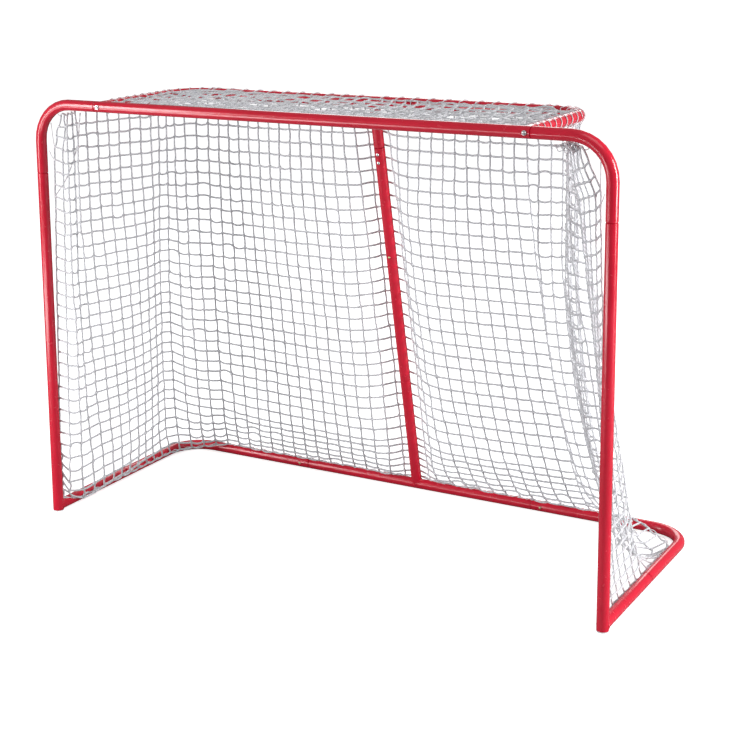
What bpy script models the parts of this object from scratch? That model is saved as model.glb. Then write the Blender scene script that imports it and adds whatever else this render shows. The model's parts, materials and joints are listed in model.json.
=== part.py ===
"""Floorball goal: a knock-down frame of round steel tube that carries a square-mesh net.

Metres, +Z up. Seen from in front of the mouth, +X is to the right and +Y runs into the goal.
The origin lies on the floor under the middle of the goal. The pieces are laid out from the
plane of the two posts, and an empty carries them all to that origin.
"""
import math

import bmesh
import bpy
from mathutils import Quaternion, Vector

# Goal sizes: the mouth is clear between the tubes, the depths run between tube axes.
MOUTH_WIDTH = 1.600
MOUTH_HEIGHT = 1.150
BASE_DEPTH = 0.650
TOP_DEPTH = 0.400
TOP_WIDTH = 1.216

# Tube and how it is bent and joined.
TUBE_D = 0.030
TUBE_WALL = 0.0015
BEND_RADIUS = 0.100
SPIGOT_LENGTH = 0.055
NECK_LENGTH = 0.003
SLIP_CLEARANCE = 0.0006
TOUCH_GAP = 0.0003

# Where the sections meet.
ELBOW_DROP = 0.192
BOLT_TO_SEAM = 0.012
BASE_ARM_LENGTH = 0.310
BASE_SEAM_X = 0.365
STUB_LENGTH = 0.130
SUPPORT_SEAM = 0.476
SCREW_PLACES = (0.146, 0.170)

# Snap button: a riveted pin on a folded strip spring inside the spigot.
BUTTON_BACK = 0.028
BUTTON_D = 0.0070
BUTTON_PROUD = 0.0026
BUTTON_DOME = 0.0016
FLANGE_D = 0.0094
FLANGE_THICKNESS = 0.0010
BUTTON_HOLE_CLEARANCE = 0.0005
STRIP_WIDTH = 0.0100
STRIP_THICKNESS = 0.0008
STRIP_FOLD_BACK = 0.034
STRIP_TIP = 0.008

# Bolts through the crossbar into the top frame, and the support's screws.
BOLT_D = 0.0060
BOLT_LENGTH = 0.052
BOLT_HEAD_D = 0.0105
BOLT_HEAD_HEIGHT = 0.0033
BOLT_SOCKET_WIDTH = 0.0040
BOLT_SOCKET_DEPTH = 0.0018
WASHER_D = 0.0124
WASHER_THICKNESS = 0.0012
INSERT_LENGTH = 0.020
SCREW_D = 0.0040
SCREW_LENGTH = 0.011
SCREW_HEAD_D = 0.0092
SCREW_HEAD_HEIGHT = 0.0026

# Foot cap under each post.
FOOT_RIM = 0.003
FOOT_PLUG_LENGTH = 0.020
FOOT_PLUG_WALL = 0.0018
FOOT_RIB_COUNT = 3
FOOT_RIB_WIDTH = 0.0012
FOOT_RIB_HEIGHT = 0.0010

# Net: square cells, drawn coarser here than the real 40 mm mesh. EDGE_CELLS counts them along
# the side net's upper edge, which runs over the elbow, the crossbar, the arm and its bend.
CORD = 0.0024
BORDER_CLEARANCE = 0.0008
NET_CORNER_INSET = 0.055
SIDE_SAG = 0.050
NET_ROWS = 9
BACK_COLUMNS = 10
EDGE_CELLS = {"elbow": 1, "crossbar": 1, "arm": 3, "bend": 2}
# Each side's netting is one real sheet that folds where its edges turn. It is drawn as a flat
# panel between each fold and the next: name, first and last column, first and last row.
SIDE_PANELS = (
    ("net_front_lower", 0, 1, 0, 7), ("net_front_upper", 0, 1, 7, 9), ("net_shoulder", 1, 2, 0, 9),
    ("net_side", 2, 5, 0, 9), ("net_bend", 5, 6, 0, 9), ("net_corner", 6, 7, 0, 9))
TOP_ROWS = 4
TOP_EDGE_DEGREES = 150
# Where the side net's front edge is tied round the post: 0 faces the mouth, 90 the rear.
POST_EDGE_DEGREES = 60

# Lacing that winds round each arm of the top frame.
LACE_D = 0.0024
TURNS_PER_CELL = 3
LACE_POINTS = 12
LACE_START = 5
LACE_CLEARANCE = 0.0008
LACE_OVER_BORDER = 0.0040
LACE_OVER_ANGLES = (TOP_EDGE_DEGREES, 270, 300)

# Fineness of the round forms.
TUBE_SIDES = 16
BEND_STEPS = 8
HOLE_SIDES = 12
COPE_SIDES = 32
SMALL_STEPS = 12
RUN_OUT = 0.010
# Turns a cutter's facets so that none lines up with a facet of what it cuts.
FACET_TURN = math.radians(5)

# Derived sizes.
TUBE_R = TUBE_D / 2
BORE_R = TUBE_R - TUBE_WALL
SPIGOT_R = BORE_R - SLIP_CLEARANCE
SPIGOT_BORE_R = SPIGOT_R - TUBE_WALL
STRIP_REACH = SPIGOT_BORE_R * math.cos(math.pi / TUBE_SIDES) - TOUCH_GAP
STRIP_SEAT = math.sqrt(STRIP_REACH ** 2 - (STRIP_WIDTH / 2) ** 2)
HALF_MOUTH = MOUTH_WIDTH / 2 + TUBE_R
HALF_TOP = TOP_WIDTH / 2
BAR_HEIGHT = MOUTH_HEIGHT + TUBE_R
BASE_HEIGHT = TUBE_R
POST_SEAM_Z = BAR_HEIGHT - ELBOW_DROP
CROSSBAR_SEAM_X = HALF_TOP + BOLT_TO_SEAM
COPE_R = TUBE_R + TOUCH_GAP
BORDER = TUBE_R + BORDER_CLEARANCE + CORD / 2
NET_CORNER_X = HALF_MOUTH - BEND_RADIUS - NET_CORNER_INSET
# Panels meet at an angle, so their square cords keep a diagonal apart.
NET_SPACING = CORD * math.sqrt(2) + TOUCH_GAP
NET_CORNER_R = BEND_RADIUS + NET_CORNER_INSET
BEHIND_SUPPORT = TUBE_R + CORD + TOUCH_GAP

FRONT_REACH = TUBE_R + WASHER_THICKNESS + BOLT_HEAD_HEIGHT + 2 * TOUCH_GAP
REAR_REACH = TUBE_R
ORIGIN_Y = -(BASE_DEPTH + REAR_REACH - FRONT_REACH) / 2

X = Vector((1, 0, 0))
Y = Vector((0, 1, 0))
Z = Vector((0, 0, 1))

# The centre support runs straight from the top frame's rear bar to the base's rear bar.
SUPPORT_TOP = Vector((0, TOP_DEPTH, BAR_HEIGHT))
SUPPORT_FOOT = Vector((0, BASE_DEPTH, BASE_HEIGHT))
SUPPORT_DOWN = (SUPPORT_FOOT - SUPPORT_TOP).normalized()
SUPPORT_FRONT = SUPPORT_DOWN.cross(X)


def clear_scene():
    for item in list(bpy.data.objects):
        bpy.data.objects.remove(item, do_unlink=True)


def new_collection(name):
    collection = bpy.data.collections.new(name)
    bpy.context.scene.collection.children.link(collection)
    return collection


def make_material(name, colour, roughness, metallic):
    material = bpy.data.materials.new(name)
    material.use_nodes = True
    shader = material.node_tree.nodes["Principled BSDF"]
    shader.inputs["Base Color"].default_value = (*colour, 1.0)
    shader.inputs["Roughness"].default_value = roughness
    shader.inputs["Metallic"].default_value = metallic
    material.diffuse_color = (*colour, 1.0)
    return material


clear_scene()
GOAL = new_collection("floorball_goal")
CUTTERS = new_collection("cutters")
ORIGIN = bpy.data.objects.new("goal_origin", None)
GOAL.objects.link(ORIGIN)
ORIGIN.location = (0, ORIGIN_Y, 0)

RED_PAINT = make_material("red_paint", (0.62, 0.02, 0.04), 0.25, 0.0)
ZINC = make_material("zinc_plate", (0.72, 0.72, 0.70), 0.35, 1.0)
SPRING_STEEL = make_material("spring_steel", (0.35, 0.35, 0.37), 0.40, 1.0)
BRASS_PLATE = make_material("yellow_zinc", (0.62, 0.52, 0.28), 0.35, 1.0)
NET_WHITE = make_material("net_cord", (0.86, 0.86, 0.86), 0.80, 0.0)
FOOT_PLASTIC = make_material("foot_plastic", (0.80, 0.80, 0.80), 0.55, 0.0)


def place(item, material=None, collection=GOAL):
    """Put an object in its collection under the goal's origin."""
    collection.objects.link(item)
    item.parent = ORIGIN
    if material is not None:
        item.data.materials.append(material)
    return item


def as_cutter(item):
    """Mark an object as a tool that only cuts others."""
    item.hide_render = True
    item.display_type = "WIRE"
    return item


def smooth(mesh, angle=35):
    mesh.shade_smooth()
    mesh.set_sharp_from_angle(angle=math.radians(angle))


def swept_tube(name, stations, sides):
    """Sweep a round section along stations of (point, radius) and return it as a closed mesh."""
    largest = max(radius for _, radius in stations)
    curve = bpy.data.curves.new(name, "CURVE")
    curve.dimensions = "3D"
    curve.bevel_depth = largest
    curve.bevel_resolution = sides // 2 - 2
    curve.use_fill_caps = True
    spline = curve.splines.new("POLY")
    spline.points.add(len(stations) - 1)
    for target, (point, radius) in zip(spline.points, stations):
        target.co = (*point, 1.0)
        target.radius = radius / largest
    item = bpy.data.objects.new(name, curve)
    CUTTERS.objects.link(item)
    bpy.context.view_layer.update()
    evaluated = item.evaluated_get(bpy.context.evaluated_depsgraph_get())
    mesh = bpy.data.meshes.new_from_object(evaluated)
    bm = bmesh.new()
    bm.from_mesh(mesh)
    bmesh.ops.remove_doubles(bm, verts=bm.verts, dist=1e-6)
    bmesh.ops.recalc_face_normals(bm, faces=bm.faces)
    bm.to_mesh(mesh)
    bm.free()
    matrix = item.matrix_world.copy()
    bpy.data.objects.remove(item, do_unlink=True)
    bpy.data.curves.remove(curve)
    mesh.name = name
    return mesh, matrix


def swept_object(name, stations, material=None, sides=TUBE_SIDES):
    """Make a solid round bar or, without a material, a round cutter."""
    mesh, matrix = swept_tube(name, stations, sides)
    item = bpy.data.objects.new(name, mesh)
    item.matrix_world = matrix
    if material is None:
        return as_cutter(place(item, None, CUTTERS))
    smooth(mesh)
    return place(item, material)


def cylinder_cutter(name, radius, start, end, sides=HOLE_SIDES):
    axis = end - start
    mesh = bpy.data.meshes.new(name)
    bm = bmesh.new()
    bmesh.ops.create_cone(bm, cap_ends=True, segments=sides, radius1=radius, radius2=radius,
                          depth=axis.length)
    bm.to_mesh(mesh)
    bm.free()
    item = bpy.data.objects.new(name, mesh)
    item.location = (start + end) / 2
    item.rotation_mode = "QUATERNION"
    item.rotation_quaternion = axis.to_track_quat("Z", "Y") @ Quaternion(Z, FACET_TURN)
    return as_cutter(place(item, None, CUTTERS))


def cut(item, cutter, solver="EXACT"):
    """Take a cutter's shape out of an object."""
    modifier = item.modifiers.new(cutter.name, "BOOLEAN")
    modifier.operation = "DIFFERENCE"
    modifier.solver = solver
    modifier.object = cutter
    return item


def cut_tube(tube, cutter):
    """Cut a hollow tube; a second exact cut through its thin wall leaves open edges."""
    return cut(tube, cutter, "MANIFOLD")


def turned(name, profile, base, axis, material, steps=SMALL_STEPS):
    """Turn a profile of (radius, height) points, top to bottom, about an axis through base."""
    mesh = bpy.data.meshes.new(name)
    points = [(radius, 0, height) for radius, height in profile]
    edges = [(i, i + 1) for i in range(len(points) - 1)]
    if profile[0][0] > 0:
        edges.append((len(points) - 1, 0))
    mesh.from_pydata(points, edges, [])
    item = bpy.data.objects.new(name, mesh)
    screw = item.modifiers.new("turn", "SCREW")
    screw.axis = "Z"
    screw.steps = steps
    screw.render_steps = steps
    screw.use_merge_vertices = True
    screw.merge_threshold = 1e-6
    screw.use_smooth_shade = True
    item.location = base
    item.rotation_mode = "QUATERNION"
    item.rotation_quaternion = axis.to_track_quat("Z", "Y")
    return place(item, material)


def arc(centre, start, end, radius, steps=BEND_STEPS):
    """Points on a quarter bend that leaves along start's side and ends on end's side."""
    points = []
    for i in range(steps + 1):
        turn = math.pi / 2 * i / steps
        points.append(centre + radius * (start * math.cos(turn) + end * math.sin(turn)))
    return points


def section_ends(points, first, last):
    """Add plain or swaged ends to a tube's centreline; returns its outside and its bore.

    A plain end stops square at its seam and takes the next tube's spigot in its bore.
    A spigot end necks down in front of the seam and runs on inside the next tube.
    """
    outside = [(point, TUBE_R) for point in points]
    bore = [(point, BORE_R) for point in points]
    for kind, index in ((first, 0), (last, -1)):
        seam = points[index]
        inward = points[1] if index == 0 else points[-2]
        out = (seam - inward).normalized()
        if kind == "plain":
            bore[index] = (seam + out * RUN_OUT, BORE_R)
            continue
        neck = TOUCH_GAP + NECK_LENGTH
        tip = seam + out * SPIGOT_LENGTH
        outer_part = [
            (seam - out * neck, TUBE_R), (seam - out * TOUCH_GAP, SPIGOT_R), (tip, SPIGOT_R)]
        inner_part = [
            (seam - out * (neck + TUBE_WALL), BORE_R),
            (seam - out * (TOUCH_GAP + TUBE_WALL), SPIGOT_BORE_R),
            (tip + out * RUN_OUT, SPIGOT_BORE_R)]
        if index == 0:
            outside = outer_part[::-1] + outside[1:]
            bore = inner_part[::-1] + bore[1:]
        else:
            outside = outside[:-1] + outer_part
            bore = bore[:-1] + inner_part
    return outside, bore


def frame_tube(name, points, first="plain", last="plain"):
    """Make one hollow section of the frame along its centreline."""
    outside, bore = section_ends(points, first, last)
    tube = swept_object(name, outside, RED_PAINT)
    return cut_tube(tube, swept_object(name + "_bore", bore))


def make_crossbar():
    return frame_tube("crossbar", [
        Vector((-CROSSBAR_SEAM_X, 0, BAR_HEIGHT)), Vector((CROSSBAR_SEAM_X, 0, BAR_HEIGHT))])


def make_corner_elbow(name, side):
    bend_x = HALF_MOUTH - BEND_RADIUS
    centre = Vector((side * bend_x, 0, BAR_HEIGHT - BEND_RADIUS))
    points = [Vector((side * CROSSBAR_SEAM_X, 0, BAR_HEIGHT))]
    points += arc(centre, Z, X * side, BEND_RADIUS)
    points.append(Vector((side * HALF_MOUTH, 0, POST_SEAM_Z)))
    return frame_tube(name, points, "spigot", "spigot")


def make_post(name, side):
    return frame_tube(name, [
        Vector((side * HALF_MOUTH, 0, FOOT_RIM + TOUCH_GAP)),
        Vector((side * HALF_MOUTH, 0, POST_SEAM_Z))])


def make_base_arm(name, side):
    x = side * HALF_MOUTH
    arm = frame_tube(name, [
        Vector((x, 0, BASE_HEIGHT)), Vector((x, BASE_ARM_LENGTH, BASE_HEIGHT))],
        "plain", "spigot")
    post_shape = cylinder_cutter(
        name + "_cope", COPE_R, Vector((x, 0, -TUBE_R)), Vector((x, 0, BASE_HEIGHT + TUBE_D)),
        COPE_SIDES)
    return cut_tube(arm, post_shape)


def base_corner_points(side):
    bend_x = side * (HALF_MOUTH - BEND_RADIUS)
    bend_y = BASE_DEPTH - BEND_RADIUS
    points = [Vector((side * HALF_MOUTH, BASE_ARM_LENGTH, BASE_HEIGHT))]
    points += arc(Vector((bend_x, bend_y, BASE_HEIGHT)), X * side, Y, BEND_RADIUS)
    points.append(Vector((side * BASE_SEAM_X, BASE_DEPTH, BASE_HEIGHT)))
    return points


def make_base_corner(name, side):
    return frame_tube(name, base_corner_points(side))


def make_base_rear_bar():
    return frame_tube("base_rear_bar", [
        Vector((-BASE_SEAM_X, BASE_DEPTH, BASE_HEIGHT)),
        Vector((BASE_SEAM_X, BASE_DEPTH, BASE_HEIGHT))], "spigot", "spigot")


def make_top_frame():
    """The one-piece hoop that is bolted to the crossbar and holds the net's top open."""
    bend_y = TOP_DEPTH - BEND_RADIUS
    bend_x = HALF_TOP - BEND_RADIUS
    points = [Vector((HALF_TOP, 0, BAR_HEIGHT))]
    points += arc(Vector((bend_x, bend_y, BAR_HEIGHT)), X, Y, BEND_RADIUS)
    points += arc(Vector((-bend_x, bend_y, BAR_HEIGHT)), Y, -X, BEND_RADIUS)
    points.append(Vector((-HALF_TOP, 0, BAR_HEIGHT)))
    hoop = frame_tube("top_frame", points)
    bar_shape = cylinder_cutter(
        "top_frame_cope", COPE_R, Vector((-HALF_MOUTH, 0, BAR_HEIGHT)),
        Vector((HALF_MOUTH, 0, BAR_HEIGHT)), COPE_SIDES)
    return cut_tube(hoop, bar_shape)


def on_support(distance):
    return SUPPORT_TOP + SUPPORT_DOWN * distance


def make_support_stub():
    stub = frame_tube("support_stub", [SUPPORT_TOP, on_support(STUB_LENGTH)], "plain", "spigot")
    bar_shape = cylinder_cutter(
        "support_stub_cope", COPE_R, SUPPORT_TOP - X * TUBE_D, SUPPORT_TOP + X * TUBE_D,
        COPE_SIDES)
    return cut_tube(stub, bar_shape)


def make_support_upper():
    return frame_tube("support_upper", [on_support(STUB_LENGTH), on_support(SUPPORT_SEAM)])


def make_support_lower():
    lower = frame_tube(
        "support_lower", [on_support(SUPPORT_SEAM), SUPPORT_FOOT], "spigot", "plain")
    bar_shape = cylinder_cutter(
        "support_lower_cope", COPE_R, SUPPORT_FOOT - X * TUBE_D, SUPPORT_FOOT + X * TUBE_D,
        COPE_SIDES)
    return cut_tube(lower, bar_shape)


def dome(radius, crown, top, steps=3):
    """Profile points of a shallow dome, from its crown to its rim."""
    points = []
    for i in range(steps + 1):
        turn = math.pi / 2 * i / steps
        points.append((radius * math.sin(turn), top - crown * (1 - math.cos(turn))))
    return points


def make_snap_button(name, axis_point, radial):
    """The pin that clicks through both tube walls; heights run outwards from the tube's axis."""
    top = TUBE_R + BUTTON_PROUD
    flange_top = STRIP_SEAT - STRIP_THICKNESS - TOUCH_GAP
    flange_bottom = flange_top - FLANGE_THICKNESS
    profile = dome(BUTTON_D / 2, BUTTON_DOME, top)
    profile += [
        (BUTTON_D / 2, flange_top), (FLANGE_D / 2, flange_top),
        (FLANGE_D / 2, flange_bottom), (0, flange_bottom)]
    return turned(name, profile, axis_point, radial, BRASS_PLATE)


def make_strip_spring(name, axis_point, radial, inward):
    """A strip folded back on itself: one leg carries the button, the other braces the bore."""
    middle = STRIP_SEAT - STRIP_THICKNESS / 2
    across = radial.cross(inward)
    path = [(-STRIP_TIP, middle), (STRIP_FOLD_BACK - middle, middle)]
    fold_steps = 6
    for i in range(1, fold_steps):
        turn = math.pi * i / fold_steps
        path.append((STRIP_FOLD_BACK - middle + middle * math.sin(turn), middle * math.cos(turn)))
    path += [(STRIP_FOLD_BACK - middle, -middle), (-STRIP_TIP, -middle)]
    mesh = bpy.data.meshes.new(name)
    points = []
    for along, height in path:
        for edge in (-1, 1):
            points.append(inward * along + radial * height + across * (edge * STRIP_WIDTH / 2))
    faces = [(2 * i, 2 * i + 1, 2 * i + 3, 2 * i + 2) for i in range(len(path) - 1)]
    mesh.from_pydata(points, [], faces)
    item = bpy.data.objects.new(name, mesh)
    item.location = axis_point
    place(item, SPRING_STEEL)
    shell = item.modifiers.new("thickness", "SOLIDIFY")
    shell.thickness = STRIP_THICKNESS
    shell.offset = 0
    shell.use_even_offset = True
    hole = cylinder_cutter(
        name + "_hole", BUTTON_D / 2 + TOUCH_GAP,
        axis_point + radial * (middle - 2 * STRIP_THICKNESS),
        axis_point + radial * (middle + 2 * STRIP_THICKNESS), 16)
    return cut(item, hole)


def make_snap_joint(label, axis_point, radial, inward, socket, spigot):
    """Drill a socket and its spigot for a button, and fit the button on its spring."""
    hole = cylinder_cutter(
        label + "_hole", BUTTON_D / 2 + BUTTON_HOLE_CLEARANCE,
        axis_point + radial * STRIP_SEAT, axis_point + radial * (TUBE_R + RUN_OUT))
    cut_tube(socket, hole)
    cut_tube(spigot, hole)
    make_snap_button("snap_button_" + label, axis_point, radial)
    make_strip_spring("button_spring_" + label, axis_point, radial, inward)


def make_frame():
    crossbar = make_crossbar()
    top_frame = make_top_frame()
    rear_bar = make_base_rear_bar()
    for label, side in (("left", -1), ("right", 1)):
        elbow = make_corner_elbow("corner_elbow_" + label, side)
        post = make_post("post_" + label, side)
        arm = make_base_arm("base_arm_" + label, side)
        corner = make_base_corner("base_corner_" + label, side)
        bolt_hole = cylinder_cutter(
            "bolt_hole_" + label, BOLT_D / 2 + TOUCH_GAP,
            Vector((side * HALF_TOP, -TUBE_R - RUN_OUT, BAR_HEIGHT)),
            Vector((side * HALF_TOP, TUBE_R + RUN_OUT, BAR_HEIGHT)))
        cut_tube(crossbar, bolt_hole)
        cut_tube(elbow, bolt_hole)
        make_snap_joint(
            "post_" + label, Vector((side * HALF_MOUTH, 0, POST_SEAM_Z - BUTTON_BACK)),
            Y, Z, post, elbow)
        make_snap_joint(
            "base_side_" + label,
            Vector((side * HALF_MOUTH, BASE_ARM_LENGTH + BUTTON_BACK, BASE_HEIGHT)),
            X * -side, -Y, corner, arm)
        make_snap_joint(
            "base_rear_" + label,
            Vector((side * (BASE_SEAM_X + BUTTON_BACK), BASE_DEPTH, BASE_HEIGHT)),
            -Y, X * -side, corner, rear_bar)
    make_support(top_frame)


def make_support(top_frame):
    stub = make_support_stub()
    upper = make_support_upper()
    lower = make_support_lower()
    make_snap_joint(
        "support", on_support(SUPPORT_SEAM - BUTTON_BACK), SUPPORT_FRONT, SUPPORT_DOWN,
        upper, lower)
    for label, distance in (("upper", SCREW_PLACES[0]), ("lower", SCREW_PLACES[1])):
        seat = on_support(distance)
        hole = cylinder_cutter(
            "screw_hole_" + label, SCREW_D / 2 + TOUCH_GAP, seat,
            seat + SUPPORT_FRONT * (TUBE_R + RUN_OUT), 16)
        cut_tube(upper, hole)
        cut_tube(stub, hole)
        make_screw("support_screw_" + label, seat)


def make_screw(name, seat):
    """Pan-head screw whose head stands on the tube's front line."""
    under = TUBE_R + TOUCH_GAP
    profile = dome(SCREW_HEAD_D / 2, SCREW_HEAD_HEIGHT, under + SCREW_HEAD_HEIGHT)
    profile += [
        (SCREW_D / 2, under), (SCREW_D / 2, under - SCREW_LENGTH + SCREW_D / 2),
        (0, under - SCREW_LENGTH)]
    return turned(name, profile, seat, SUPPORT_FRONT, ZINC)


def make_arm_fixing(label, side):
    """Bolt, washer and threaded insert that hold one arm of the top frame to the crossbar."""
    centre = Vector((side * HALF_TOP, 0, BAR_HEIGHT))
    washer_foot = TUBE_R + TOUCH_GAP
    head_foot = washer_foot + WASHER_THICKNESS + TOUCH_GAP
    head_top = head_foot + BOLT_HEAD_HEIGHT
    hole_r = BOLT_D / 2 + TOUCH_GAP
    profile = dome(BOLT_HEAD_D / 2, BOLT_HEAD_HEIGHT, head_top)
    profile += [
        (BOLT_D / 2, head_foot), (BOLT_D / 2, head_foot - BOLT_LENGTH),
        (0, head_foot - BOLT_LENGTH)]
    bolt = turned("top_frame_bolt_" + label, profile, centre, -Y, ZINC)
    cut(bolt, cylinder_cutter(
        "bolt_socket_" + label, BOLT_SOCKET_WIDTH / math.sqrt(3),
        centre - Y * (head_top - BOLT_SOCKET_DEPTH), centre - Y * (head_top + RUN_OUT), 6))
    ring = [
        (hole_r, WASHER_THICKNESS), (WASHER_D / 2, WASHER_THICKNESS), (WASHER_D / 2, 0),
        (hole_r, 0)]
    turned("bolt_washer_" + label, ring, centre - Y * washer_foot, -Y, ZINC)
    plug_r = BORE_R - SLIP_CLEARANCE
    plug = [(hole_r, INSERT_LENGTH), (plug_r, INSERT_LENGTH), (plug_r, 0), (hole_r, 0)]
    turned("threaded_insert_" + label, plug, centre + Y * (COPE_R + TOUCH_GAP), Y, ZINC)


def make_foot_cap(name, side):
    """Moulded cap: a rim the size of the tube and a ribbed, hollow plug in the post's bore."""
    core = BORE_R - SLIP_CLEARANCE - FOOT_RIB_HEIGHT
    top = FOOT_RIM + FOOT_PLUG_LENGTH
    profile = [(core, top)]
    rib_pitch = FOOT_PLUG_LENGTH / (FOOT_RIB_COUNT + 1)
    for number in range(FOOT_RIB_COUNT):
        middle = top - rib_pitch * (number + 1)
        profile += [
            (core, middle + FOOT_RIB_WIDTH), (core + FOOT_RIB_HEIGHT, middle),
            (core, middle - FOOT_RIB_WIDTH)]
    profile += [
        (core, FOOT_RIM), (TUBE_R, FOOT_RIM), (TUBE_R, 0.0), (0, 0.0)]
    inside = [(0, FOOT_RIM + FOOT_PLUG_WALL), (core - FOOT_PLUG_WALL, FOOT_RIM + FOOT_PLUG_WALL),
              (core - FOOT_PLUG_WALL, top)]
    return turned(name, inside + profile, Vector((side * HALF_MOUTH, 0, 0)), Z, FOOT_PLASTIC,
                  TUBE_SIDES)


def net_object(name, rows):
    """Turn a grid of points into netting: each edge becomes a cord, fused at the crossings."""
    mesh = bpy.data.meshes.new(name)
    width = len(rows[0])
    points = [point for row in rows for point in row]
    faces = []
    for i in range(len(rows) - 1):
        for j in range(width - 1):
            corner = i * width + j
            faces.append((corner, corner + 1, corner + width + 1, corner + width))
    mesh.from_pydata(points, [], faces)
    item = bpy.data.objects.new(name, mesh)
    cords = item.modifiers.new("cords", "WIREFRAME")
    cords.thickness = CORD
    cords.offset = 0
    cords.use_boundary = True
    cords.use_even_offset = False
    cords.use_replace = True
    return place(item, NET_WHITE)


def blend(a, b, share):
    return a + (b - a) * share


def along(start, end, cells):
    """Evenly spaced points from start on, without the end itself."""
    return [blend(start, end, i / cells) for i in range(cells)]


def base_edge(side):
    """Where the side net's lower edge is tied: along the arm, then inside the corner's bend."""
    front = Vector((side * HALF_MOUTH, 0, BASE_HEIGHT))
    bend = Vector((side * HALF_MOUTH, BASE_DEPTH - NET_CORNER_R, BASE_HEIGHT))
    points = along(front, bend, sum(EDGE_CELLS.values()) - EDGE_CELLS["bend"])
    centre = bend - X * (side * NET_CORNER_R)
    return points + arc(centre, X * side, Y, NET_CORNER_R, EDGE_CELLS["bend"])


def top_edge(side):
    """Where its upper edge is tied: over the elbow, under the crossbar and round the hoop."""
    elbow = Vector((side * HALF_MOUTH, 0, BAR_HEIGHT - BEND_RADIUS))
    bar = Vector((side * (HALF_MOUTH - BEND_RADIUS), 0, BAR_HEIGHT))
    arm = Vector((side * HALF_TOP, 0, BAR_HEIGHT))
    bend = Vector((side * HALF_TOP, TOP_DEPTH - BEND_RADIUS, BAR_HEIGHT))
    points = along(elbow, bar, EDGE_CELLS["elbow"]) + along(bar, arm, EDGE_CELLS["crossbar"])
    points += along(arm, bend, EDGE_CELLS["arm"])
    centre = bend - X * (side * BEND_RADIUS)
    return points + arc(centre, X * side, Y, BEND_RADIUS, EDGE_CELLS["bend"])


def net_column(base, top, shift=Vector()):
    """One upright cord's ends: its border cords lie on the base tube and under the top tube."""
    up = (top - base).normalized()
    return base + up * BORDER + shift, top - up * BORDER + shift


def post_column(side):
    """The side net's front edge, tied to the inner rear of the post."""
    turn = math.radians(POST_EDGE_DEGREES)
    beside = Vector((-side * math.cos(turn), math.sin(turn), 0)) * BORDER
    post = Vector((side * HALF_MOUTH, 0, 0)) + beside
    return post + Z * (BASE_HEIGHT + BORDER), post + Z * (BAR_HEIGHT - BEND_RADIUS)


def side_panel(columns, side, first, last):
    """A panel's rows of points, sagging inward between its outer columns if it has others."""
    rows = []
    for i in range(NET_ROWS + 1):
        share = i / NET_ROWS
        row = []
        for j in range(first, last + 1):
            low, high = columns[j]
            across = (j - first) / (last - first)
            sag = SIDE_SAG * math.sin(math.pi * across) * math.sin(math.pi * math.sqrt(share))
            row.append(blend(low, high, share) - X * (side * sag))
        rows.append(drawn_back(row))
    return rows


def drawn_back(points):
    """The same points with the last one drawn back, clear of the next panel's border."""
    return [*points[:-1], points[-1] + (points[-2] - points[-1]).normalized() * NET_SPACING]


def make_side_nets(label, side):
    columns = [net_column(low, high) for low, high in zip(base_edge(side), top_edge(side))]
    columns[0] = post_column(side)
    for name, first, last, bottom, top in SIDE_PANELS:
        rows = side_panel(columns, side, first, last)[bottom:top + 1]
        if top < NET_ROWS:
            rows[-1] = [drawn_back(pair)[-1] for pair in zip(rows[-2], rows[-1])]
        net_object(name + "_" + label, rows)


def make_back_net():
    """The back panel hangs between the rear bars and passes behind the centre support."""
    columns = []
    for j in range(BACK_COLUMNS + 1):
        across = 2 * j / BACK_COLUMNS - 1
        base = SUPPORT_FOOT + X * (across * NET_CORNER_X)
        top = SUPPORT_TOP + X * (across * (HALF_TOP - BEND_RADIUS))
        behind = SUPPORT_FRONT * -BEHIND_SUPPORT if 2 * j == BACK_COLUMNS else Vector()
        columns.append(net_column(base, top, behind))
    rows = []
    for i in range(NET_ROWS + 1):
        rows.append([blend(low, high, i / NET_ROWS) for low, high in columns])
    return net_object("net_back", rows)


def make_top_net():
    """The roof panel lies between the crossbar and the hoop and rests on its rear bar."""
    inset = -BORDER * math.cos(math.radians(TOP_EDGE_DEGREES))
    lift = BORDER * math.sin(math.radians(TOP_EDGE_DEGREES))
    half = HALF_TOP - inset
    bend_x = HALF_TOP - BEND_RADIUS
    rows = []
    for i in range(TOP_ROWS + 1):
        share = i / TOP_ROWS
        row = []
        for j in range(BACK_COLUMNS + 1):
            at_edge = j in (0, BACK_COLUMNS)
            side = -1 if j < BACK_COLUMNS / 2 else 1
            x = side * half if at_edge else blend(-bend_x, bend_x, (j - 1) / (BACK_COLUMNS - 2))
            front = Vector((x, inset, BAR_HEIGHT + lift))
            back = Vector((x, TOP_DEPTH, BAR_HEIGHT + BORDER))
            if at_edge:
                back = Vector((x, TOP_DEPTH - BEND_RADIUS, BAR_HEIGHT + lift))
            row.append(blend(front, back, share))
        rows.append(row)
    return net_object("net_top", rows)


def lace_point(side, turn, y):
    """A point of the lacing: close round the arm, and out round the two net borders on it."""
    over = (round(math.degrees(turn)) % 360) in LACE_OVER_ANGLES
    radius = TUBE_R + LACE_D / 2 + LACE_CLEARANCE + (LACE_OVER_BORDER if over else 0)
    return Vector((
        side * (HALF_TOP + radius * math.cos(turn)), y, BAR_HEIGHT + radius * math.sin(turn)))


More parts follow.
